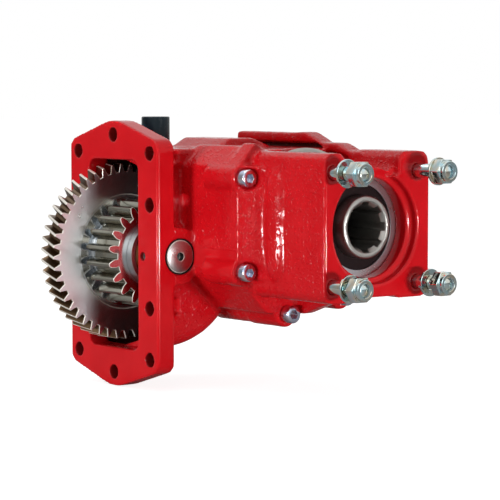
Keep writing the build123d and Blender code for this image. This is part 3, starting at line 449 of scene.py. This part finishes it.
zinc = plated("zinc_plate", (0.74, 0.80, 0.81), (0.74, 0.68, 0.56), (0.60, 0.80, 0.85), 0.1)
screw_zinc = plated("screw_zinc", (0.62, 0.62, 0.70), (0.68, 0.60, 0.64), (0.50, 0.58, 0.76), 0.16)
bright_steel = plated("bright_steel", (0.60, 0.60, 0.61), (0.58, 0.57, 0.55), (0.62, 0.62, 0.64), 0.3)
plug_steel = plated("plug_steel", (0.30, 0.29, 0.25), (0.34, 0.31, 0.26), (0.24, 0.24, 0.22), 0.35)
bronze = plated("cage_bronze", (0.60, 0.42, 0.18), (0.62, 0.43, 0.18), (0.52, 0.37, 0.19), 0.35)
print("finishes", len(bpy.data.materials))

# %% [markdown]
# Rubber, plastic and the clutch lining mirror little. What makes them real is the slight unevenness of
# their colour and their soft, grainy shine.

# %% Rubber, plastic and lining
def grained(name, base, other, roughness, scale, depth):
    """A plain moulded or pressed material with a grain of a given scale and depth."""
    material, tree, shader, place = finish(name, base, 0.0, roughness)
    grain = noise(tree, place, scale, detail=3)
    tree.links.new(blended(tree, grain, base, other), shader.inputs["Base Color"])
    uneven = spread(tree, grain, low=roughness - 0.06, high=roughness + 0.08)
    tree.links.new(uneven, shader.inputs["Roughness"])
    tree.links.new(bump(tree, grain, depth, strength=0.4), shader.inputs["Normal"])
    return material


seal_rubber = grained("seal_rubber", (0.009, 0.005, 0.005), (0.021, 0.010, 0.011), 0.42, 700, 0.00005)
cap_plastic = grained("cap_plastic", (0.005, 0.018, 0.028), (0.007, 0.024, 0.036), 0.24, 220, 0.00002)
nut_nylon = grained("nut_nylon", (0.52, 0.60, 0.64), (0.44, 0.52, 0.58), 0.4, 900, 0.00003)
lining = grained("clutch_lining", (0.16, 0.11, 0.07), (0.10, 0.07, 0.05), 0.75, 1200, 0.00005)
for material, gleam in ((seal_rubber, 0.1), (cap_plastic, 0.25)):
    material.node_tree.nodes["Principled BSDF"].inputs["Specular IOR Level"].default_value = gleam
print("finishes", len(bpy.data.materials))

# %% [markdown]
# Each CAD node now gets its finish. The nodes inside the case get one too: they show in the exploded
# part and in other light.

# %% Which finish goes on which node
finish_of_node = {
    "gear_case": enamel,
    "pump_housing": enamel,
    "top_plug": plug_steel,
    "housing_gasket": enamel,
    "case_screws": screw_zinc,
    "pump_studs": zinc,
    "stud_washers": zinc,
    "lock_nuts": zinc,
    "nut_rings": nut_nylon,
    "idler_shaft": idler_shaft_steel,
    "idler_shaft_seals": seal_rubber,
    "idler_lock_screw": bright_steel,
    "idler_inner_rings": bright_steel,
    "idler_spacers": bright_steel,
    "idler_outer_rings": bright_steel,
    "idler_rollers": bright_steel,
    "idler_cages": bronze,
    "idler_gear_cluster": gear_steel,
    "shaft_outer_rings": bright_steel,
    "shaft_inner_rings": bright_steel,
    "front_rollers": bright_steel,
    "rear_rollers": bright_steel,
    "front_cage": bronze,
    "rear_cage": bronze,
    "drum_bush": bronze,
    "output_seal": seal_rubber,
    "seal_circlip": ring_steel,
    "port_fitting": zinc,
    "port_cap": cap_plastic,
    "output_drum": drum_steel,
    "clutch_hub": drum_steel,
    "clutch_piston": drum_steel,
    "steel_discs": bright_steel,
    "friction_discs": lining,
    "pressure_plate": bright_steel,
    "drum_circlip": ring_steel,
    "spring_retainer": ring_steel,
    "return_spring": ring_steel,
    "thrust_ring": bronze,
    "output_shaft": shaft_steel,
}
for name, node in nodes.items():
    node.data.materials.clear()
    node.data.materials.append(finish_of_node[name])
print("nodes finished", len(finish_of_node), "of", len(nodes))

# %% [markdown]
# A CAD node is never changed. A piece that needs another shape is made beside it: it stands for the node,
# rides on the node's body and takes its finish from the node's slot. Helpers do what such pieces share.

# %% Helpers for pieces that stand for a node
same_point = 1e-6


def stand_in(node_name, ending, mesh):
    """A new piece with a given mesh that stands for a node, named after it."""
    piece = bpy.data.objects.new(node_name + ending, mesh)
    bpy.context.scene.collection.objects.link(piece)
    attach(piece, body_of_node[node_name])
    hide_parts(node_name)
    return piece


def merged_copy(node_name):
    """A stand-in with the node's own shape, its doubled points merged."""
    mesh = nodes[node_name].data.copy()
    mesh.attributes.remove(mesh.attributes["custom_normal"])
    bm = bmesh.new()
    bm.from_mesh(mesh)
    bmesh.ops.remove_doubles(bm, verts=bm.verts, dist=same_point)
    for face in bm.faces:
        face.smooth = True
    for edge in bm.edges:
        edge.smooth = True
    bm.to_mesh(mesh)
    bm.free()
    return stand_in(node_name, "_dressed", mesh)


def apply_modifiers(piece):
    """Puts what the modifiers make into the piece's own mesh."""
    bpy.context.view_layer.update()
    made = piece.evaluated_get(bpy.context.evaluated_depsgraph_get())
    piece.data = bpy.data.meshes.new_from_object(made)
    piece.modifiers.clear()


# %% [markdown]
# A CAD solid has knife edges, and a sand casting has none: the sand rounds every corner, fills every
# inner one, and leaves a skin of small humps. A bevel would round the corners, but it stumbles where
# many curved faces meet. So the copy is turned into small even cells, smoothed as sand would do it,
# and only then thinned out again. The faces and bores that are cut after casting are smoothed far less,
# so the script has to know where they are. It also has to know where the red gives way to dark brown:
# in the slot under the arm, as painted shade, and in the gear chamber and in the holes of the mounting
# flange, whose own face stays red, as partly bare iron and partly painted shade.

# %% Where the castings are cut and where they are bare
output_x, output_z = output_centre
stud_offset = 0.04
stud_places = [
    (output_x + side * stud_offset, output_z + height * stud_offset) for side in (-1, 1) for height in (-1, 1)
]
flange_holes = [(y, z) for y in (-0.0456, 0.0456) for z in (-0.0762, -0.0381, 0.0381, 0.0762)]
flange_holes += [(0.0, -0.0893), (0.0, 0.0893)]
flange_back, flange_face, pump_face, pump_flange_back = 0.0165, 0.0006, -0.1865, -0.16
idler_bore, output_bore, stud_hole = 0.0142, 0.0425, 0.0066
flange_hole, lock_screw_place, lock_screw_hole = 0.0058, (-0.0371, 0), 0.0036
chamber_half_width, chamber_radius = 0.0325, 0.0715
slot_low, slot_high = (0.1185, -0.118, 0.0795), (0.1275, -0.003, 0.0827)
# In the flange holes the dark brown is partly bare iron and partly painted shade.
hole_bareness_and_shade = 0.7


def near(first, second, centre, reach):
    """Whether two coordinates lie within a reach of a centre."""
    return (first - centre[0]) ** 2 + (second - centre[1]) ** 2 < reach**2


def machined(co):
    """Whether a point lies on a face or bore that is cut after casting."""
    if co.x < flange_back or co.y < pump_face:
        return True
    if near(co.x, co.z, idler_centre, idler_bore) or near(co.x, co.z, output_centre, output_bore):
        return True
    return co.y < pump_flange_back and any(near(co.x, co.z, place, stud_hole) for place in stud_places)


def bareness_and_shade(co):
    """How far the red gives way to the dark brown of bare iron and painted shade at a point, from 0 to 1."""
    # The slot under the arm is painted fully dark, as shade.
    if all(low < value < high for low, value, high in zip(slot_low, co, slot_high)):
        return 1.0
    if co.x > flange_back:
        return float(abs(co.y) < chamber_half_width and near(co.x, co.z, idler_centre, chamber_radius))
    if co.x < flange_face:
        return 0.0
    drilled = any(near(co.y, co.z, place, flange_hole) for place in flange_holes)
    return hole_bareness_and_shade if drilled or near(co.y, co.z, lock_screw_place, lock_screw_hole) else 0.0


print("holes", len(stud_places) + len(flange_holes) + 1)

# %% [markdown]
# The unit was painted after it was put together, so the paint bridges the joint: the gear case, the
# gasket and the pump housing are cast as one skin, which is cut at the joint again afterwards. The gasket
# is made a little thicker here, so that the three overlap. Two low ribs on the shoulder of the pump
# housing are added before the skin is made. Each is a ball drawn out to a barrel, which keeps its width
# nearly to its ends, and the ends of one of them bend towards the pump.

# %% Join the castings and turn them into small even cells
joint_back, joint_front = -0.095, -0.0958
overlap, cell_size = 0.0012, 0.0011
rib_turn = radians(23)
shoulder_ribs = (
    ((0.0495, -0.1375, 0.026), (0.006, 0.012, 0.042), 0.0),
    ((0.0495, -0.1255, 0.026), (0.004, 0.006, 0.036), 0.014),
)


def smoothed(bm, points, rounds):
    """Draws points towards their neighbours, a number of times."""
    for _ in range(rounds):
        bmesh.ops.smooth_vert(bm, verts=points, factor=0.5, use_axis_x=True, use_axis_y=True, use_axis_z=True)


gasket = bmesh.new()
gasket.from_mesh(nodes["housing_gasket"].data)
for v in gasket.verts:
    v.co.y += overlap if v.co.y > (joint_back + joint_front) / 2 else -overlap
thick_gasket = bpy.data.meshes.new("thick_gasket")
gasket.to_mesh(thick_gasket)
gasket.free()
bm = bmesh.new()
for mesh in (nodes["gear_case"].data, nodes["pump_housing"].data, thick_gasket):
    bm.from_mesh(mesh)
bmesh.ops.remove_doubles(bm, verts=bm.verts, dist=same_point)
for place, size, bow in shoulder_ribs:
    rib = bmesh.ops.create_icosphere(bm, subdivisions=5, radius=1.0)["verts"]
    for v in rib:
        fuller = (1 + v.co.z**2 + v.co.z**4) ** 0.5
        v.co.x *= fuller
        v.co.y *= fuller
    bmesh.ops.scale(bm, verts=rib, vec=size)
    bmesh.ops.rotate(bm, verts=rib, cent=(0, 0, 0), matrix=Matrix.Rotation(rib_turn, 3, "Z"))
    for v in rib:
        v.co.y -= bow * (v.co.z / size[2]) ** 2
    bmesh.ops.translate(bm, verts=rib, vec=place)
skin_mesh = bpy.data.meshes.new("skin")
bm.to_mesh(skin_mesh)
bm.free()
skin_piece = bpy.data.objects.new("skin", skin_mesh)
bpy.context.scene.collection.objects.link(skin_piece)
cells = skin_piece.modifiers.new("cells", "REMESH")
cells.mode = "VOXEL"
cells.voxel_size = cell_size
apply_modifiers(skin_piece)
print("cells", len(skin_piece.data.polygons))

# %% [markdown]
# Behind the pump flange, between the near and the far column, the tube round the seal is slimmer than
# the CAD's, so its top is drawn in. Then the skin is smoothed: twice all over, and ten times more where
# it is cast. The humps follow a noise of the place, which is the same in every run.

# %% Round the corners, raise the humps and thin the mesh out
tube_past, tube_above, tube_between = -0.150, 0.030, (-0.0232, 0.0212)
slim_radius, full_radius = 0.043, 0.0495
rounds_all_over, rounds_as_cast = 2, 10
hump_height, humps_per_metre = 0.00012, 140
triangles_wanted = 285000
bm = bmesh.new()
bm.from_mesh(skin_piece.data)
for v in bm.verts:
    across, up = v.co.x - output_x, v.co.z - output_z
    reach = (across**2 + up**2) ** 0.5
    behind_flange = v.co.y < tube_past and up > tube_above
    if behind_flange and tube_between[0] < across < tube_between[1] and slim_radius < reach < full_radius:
        v.co.x = output_x + across * slim_radius / reach
        v.co.z = output_z + up * slim_radius / reach
smoothed(bm, bm.verts, rounds_all_over)
rough = [v for v in bm.verts if not machined(v.co)]
smoothed(bm, rough, rounds_as_cast)
bm.normal_update()
for v in rough:
    v.co += v.normal * hump_height * hump(v.co * humps_per_metre, noise_basis="PERLIN_ORIGINAL")
bm.to_mesh(skin_piece.data)
bm.free()
thin = skin_piece.modifiers.new("thin", "DECIMATE")
thin.ratio = min(1.0, triangles_wanted / (2 * len(skin_piece.data.polygons)))
apply_modifiers(skin_piece)
print("thinned", len(skin_piece.data.polygons))

# %% [markdown]
# The skin is cut in three at the joint, and each cut is closed with a flat cap. Each piece then gets its
# two values at every point: as_cast, and the share of dark brown that stands for bare iron and painted
# shade. The finish reads them there.

# %% Cut the skin at the joint
on_the_cut = 1e-7
cuts = {
    "gear_case": (joint_back, None),
    "housing_gasket": (joint_front, joint_back),
    "pump_housing": (None, joint_front),
}
for node_name, (low, high) in cuts.items():
    bm = bmesh.new()
    bm.from_mesh(skin_piece.data)
    for face in bm.faces:
        face.smooth = True
    for y, outward in ((low, -1), (high, 1)):
        if y is None:
            continue
        cut = bmesh.ops.bisect_plane(
            bm,
            geom=bm.verts[:] + bm.edges[:] + bm.faces[:],
            dist=on_the_cut,
            plane_co=(0, y, 0),
            plane_no=(0, outward, 0),
            clear_outer=True,
        )
        rim = [e for e in cut["geom_cut"] if isinstance(e, bmesh.types.BMEdge)]
        cap = bmesh.ops.triangle_fill(bm, edges=rim, use_beauty=True, normal=(0, outward, 0))
        for edge in rim:
            edge.smooth = False
        for face in (g for g in cap["geom"] if isinstance(g, bmesh.types.BMFace)):
            face.smooth = False
    as_cast_layer = bm.verts.layers.float.new("as_cast")
    bare_and_shaded_layer = bm.verts.layers.float.new("bored")
    for v in bm.verts:
        v[as_cast_layer] = 0.0 if machined(v.co) else 1.0
        v[bare_and_shaded_layer] = bareness_and_shade(v.co)
    mesh = bpy.data.meshes.new(node_name + "_cast")
    bm.to_mesh(mesh)
    bm.free()
    mesh.materials.append(enamel)
    piece = stand_in(node_name, "_cast", mesh)
    print(piece.name, len(mesh.polygons))
bpy.data.objects.remove(skin_piece)

# %% [markdown]
# The machined pieces have small, even chamfers, which a bevel on their sharp edges gives. Coplanar
# triangles are joined first, so that the bevel runs along whole edges. A chamfer is flat, so its edges
# are marked sharp afterwards: smooth shading over them would make a flat gear face look like a dome.
# The wheel's teeth lean by 20 degrees. The CAD's loft pairs each tooth at the front with the wrong one at
# the back, which leans them by 6 degrees the other way, so the back is turned here by one whole tooth:
# both faces stay as they were, and each tooth ends at the right neighbour.

# %% Ease the edges of the machined pieces
wheel_front, wheel_width, wheel_teeth = 0.012, 0.017, 49
wheel_tooth = radians(360 / wheel_teeth)
coplanar, sharp_from, smooth_below = radians(0.5), radians(35), radians(25)


def lean_the_teeth(bm):
    """Turns the wheel behind its front face, by one whole tooth at its back, for the 20 degree helix."""
    for v in bm.verts:
        share = min(1.0, max(0.0, (v.co.y - wheel_front) / wheel_width))
        turn = Matrix.Rotation(share * wheel_tooth, 3, "Y")
        axis = Vector((idler_centre[0], v.co.y, idler_centre[1]))
        v.co = axis + turn @ (v.co - axis)


def eased(node_name, width):
    """A copy of a node whose sharp edges carry a narrow chamfer."""
    piece = merged_copy(node_name)
    bm = bmesh.new()
    bm.from_mesh(piece.data)
    bmesh.ops.dissolve_limit(bm, angle_limit=coplanar, verts=bm.verts, edges=bm.edges)
    if node_name == "idler_gear_cluster":
        lean_the_teeth(bm)
    bm.to_mesh(piece.data)
    bm.free()
    chamfer = piece.modifiers.new("chamfer", "BEVEL")
    chamfer.width = width
    chamfer.segments = 1
    chamfer.limit_method = "ANGLE"
    chamfer.angle_limit = sharp_from
    chamfer.use_clamp_overlap = False
    apply_modifiers(piece)
    bm = bmesh.new()
    bm.from_mesh(piece.data)
    for edge in bm.edges:
        edge.smooth = len(edge.link_faces) == 2 and edge.calc_face_angle() < smooth_below
    bm.to_mesh(piece.data)
    bm.free()
    return piece


for name, width in {
    "idler_gear_cluster": 0.0004,
    "output_shaft": 0.0003,
    "idler_shaft": 0.0002,
    "lock_nuts": 0.0004,
    "stud_washers": 0.0003,
    "case_screws": 0.0003,
    "pump_studs": 0.0009,
    "port_cap": 0.0004,
    "seal_circlip": 0.0002,
    "nut_rings": 0.0002,
}.items():
    piece = eased(name, width)
    print(piece.name, len(piece.data.polygons))
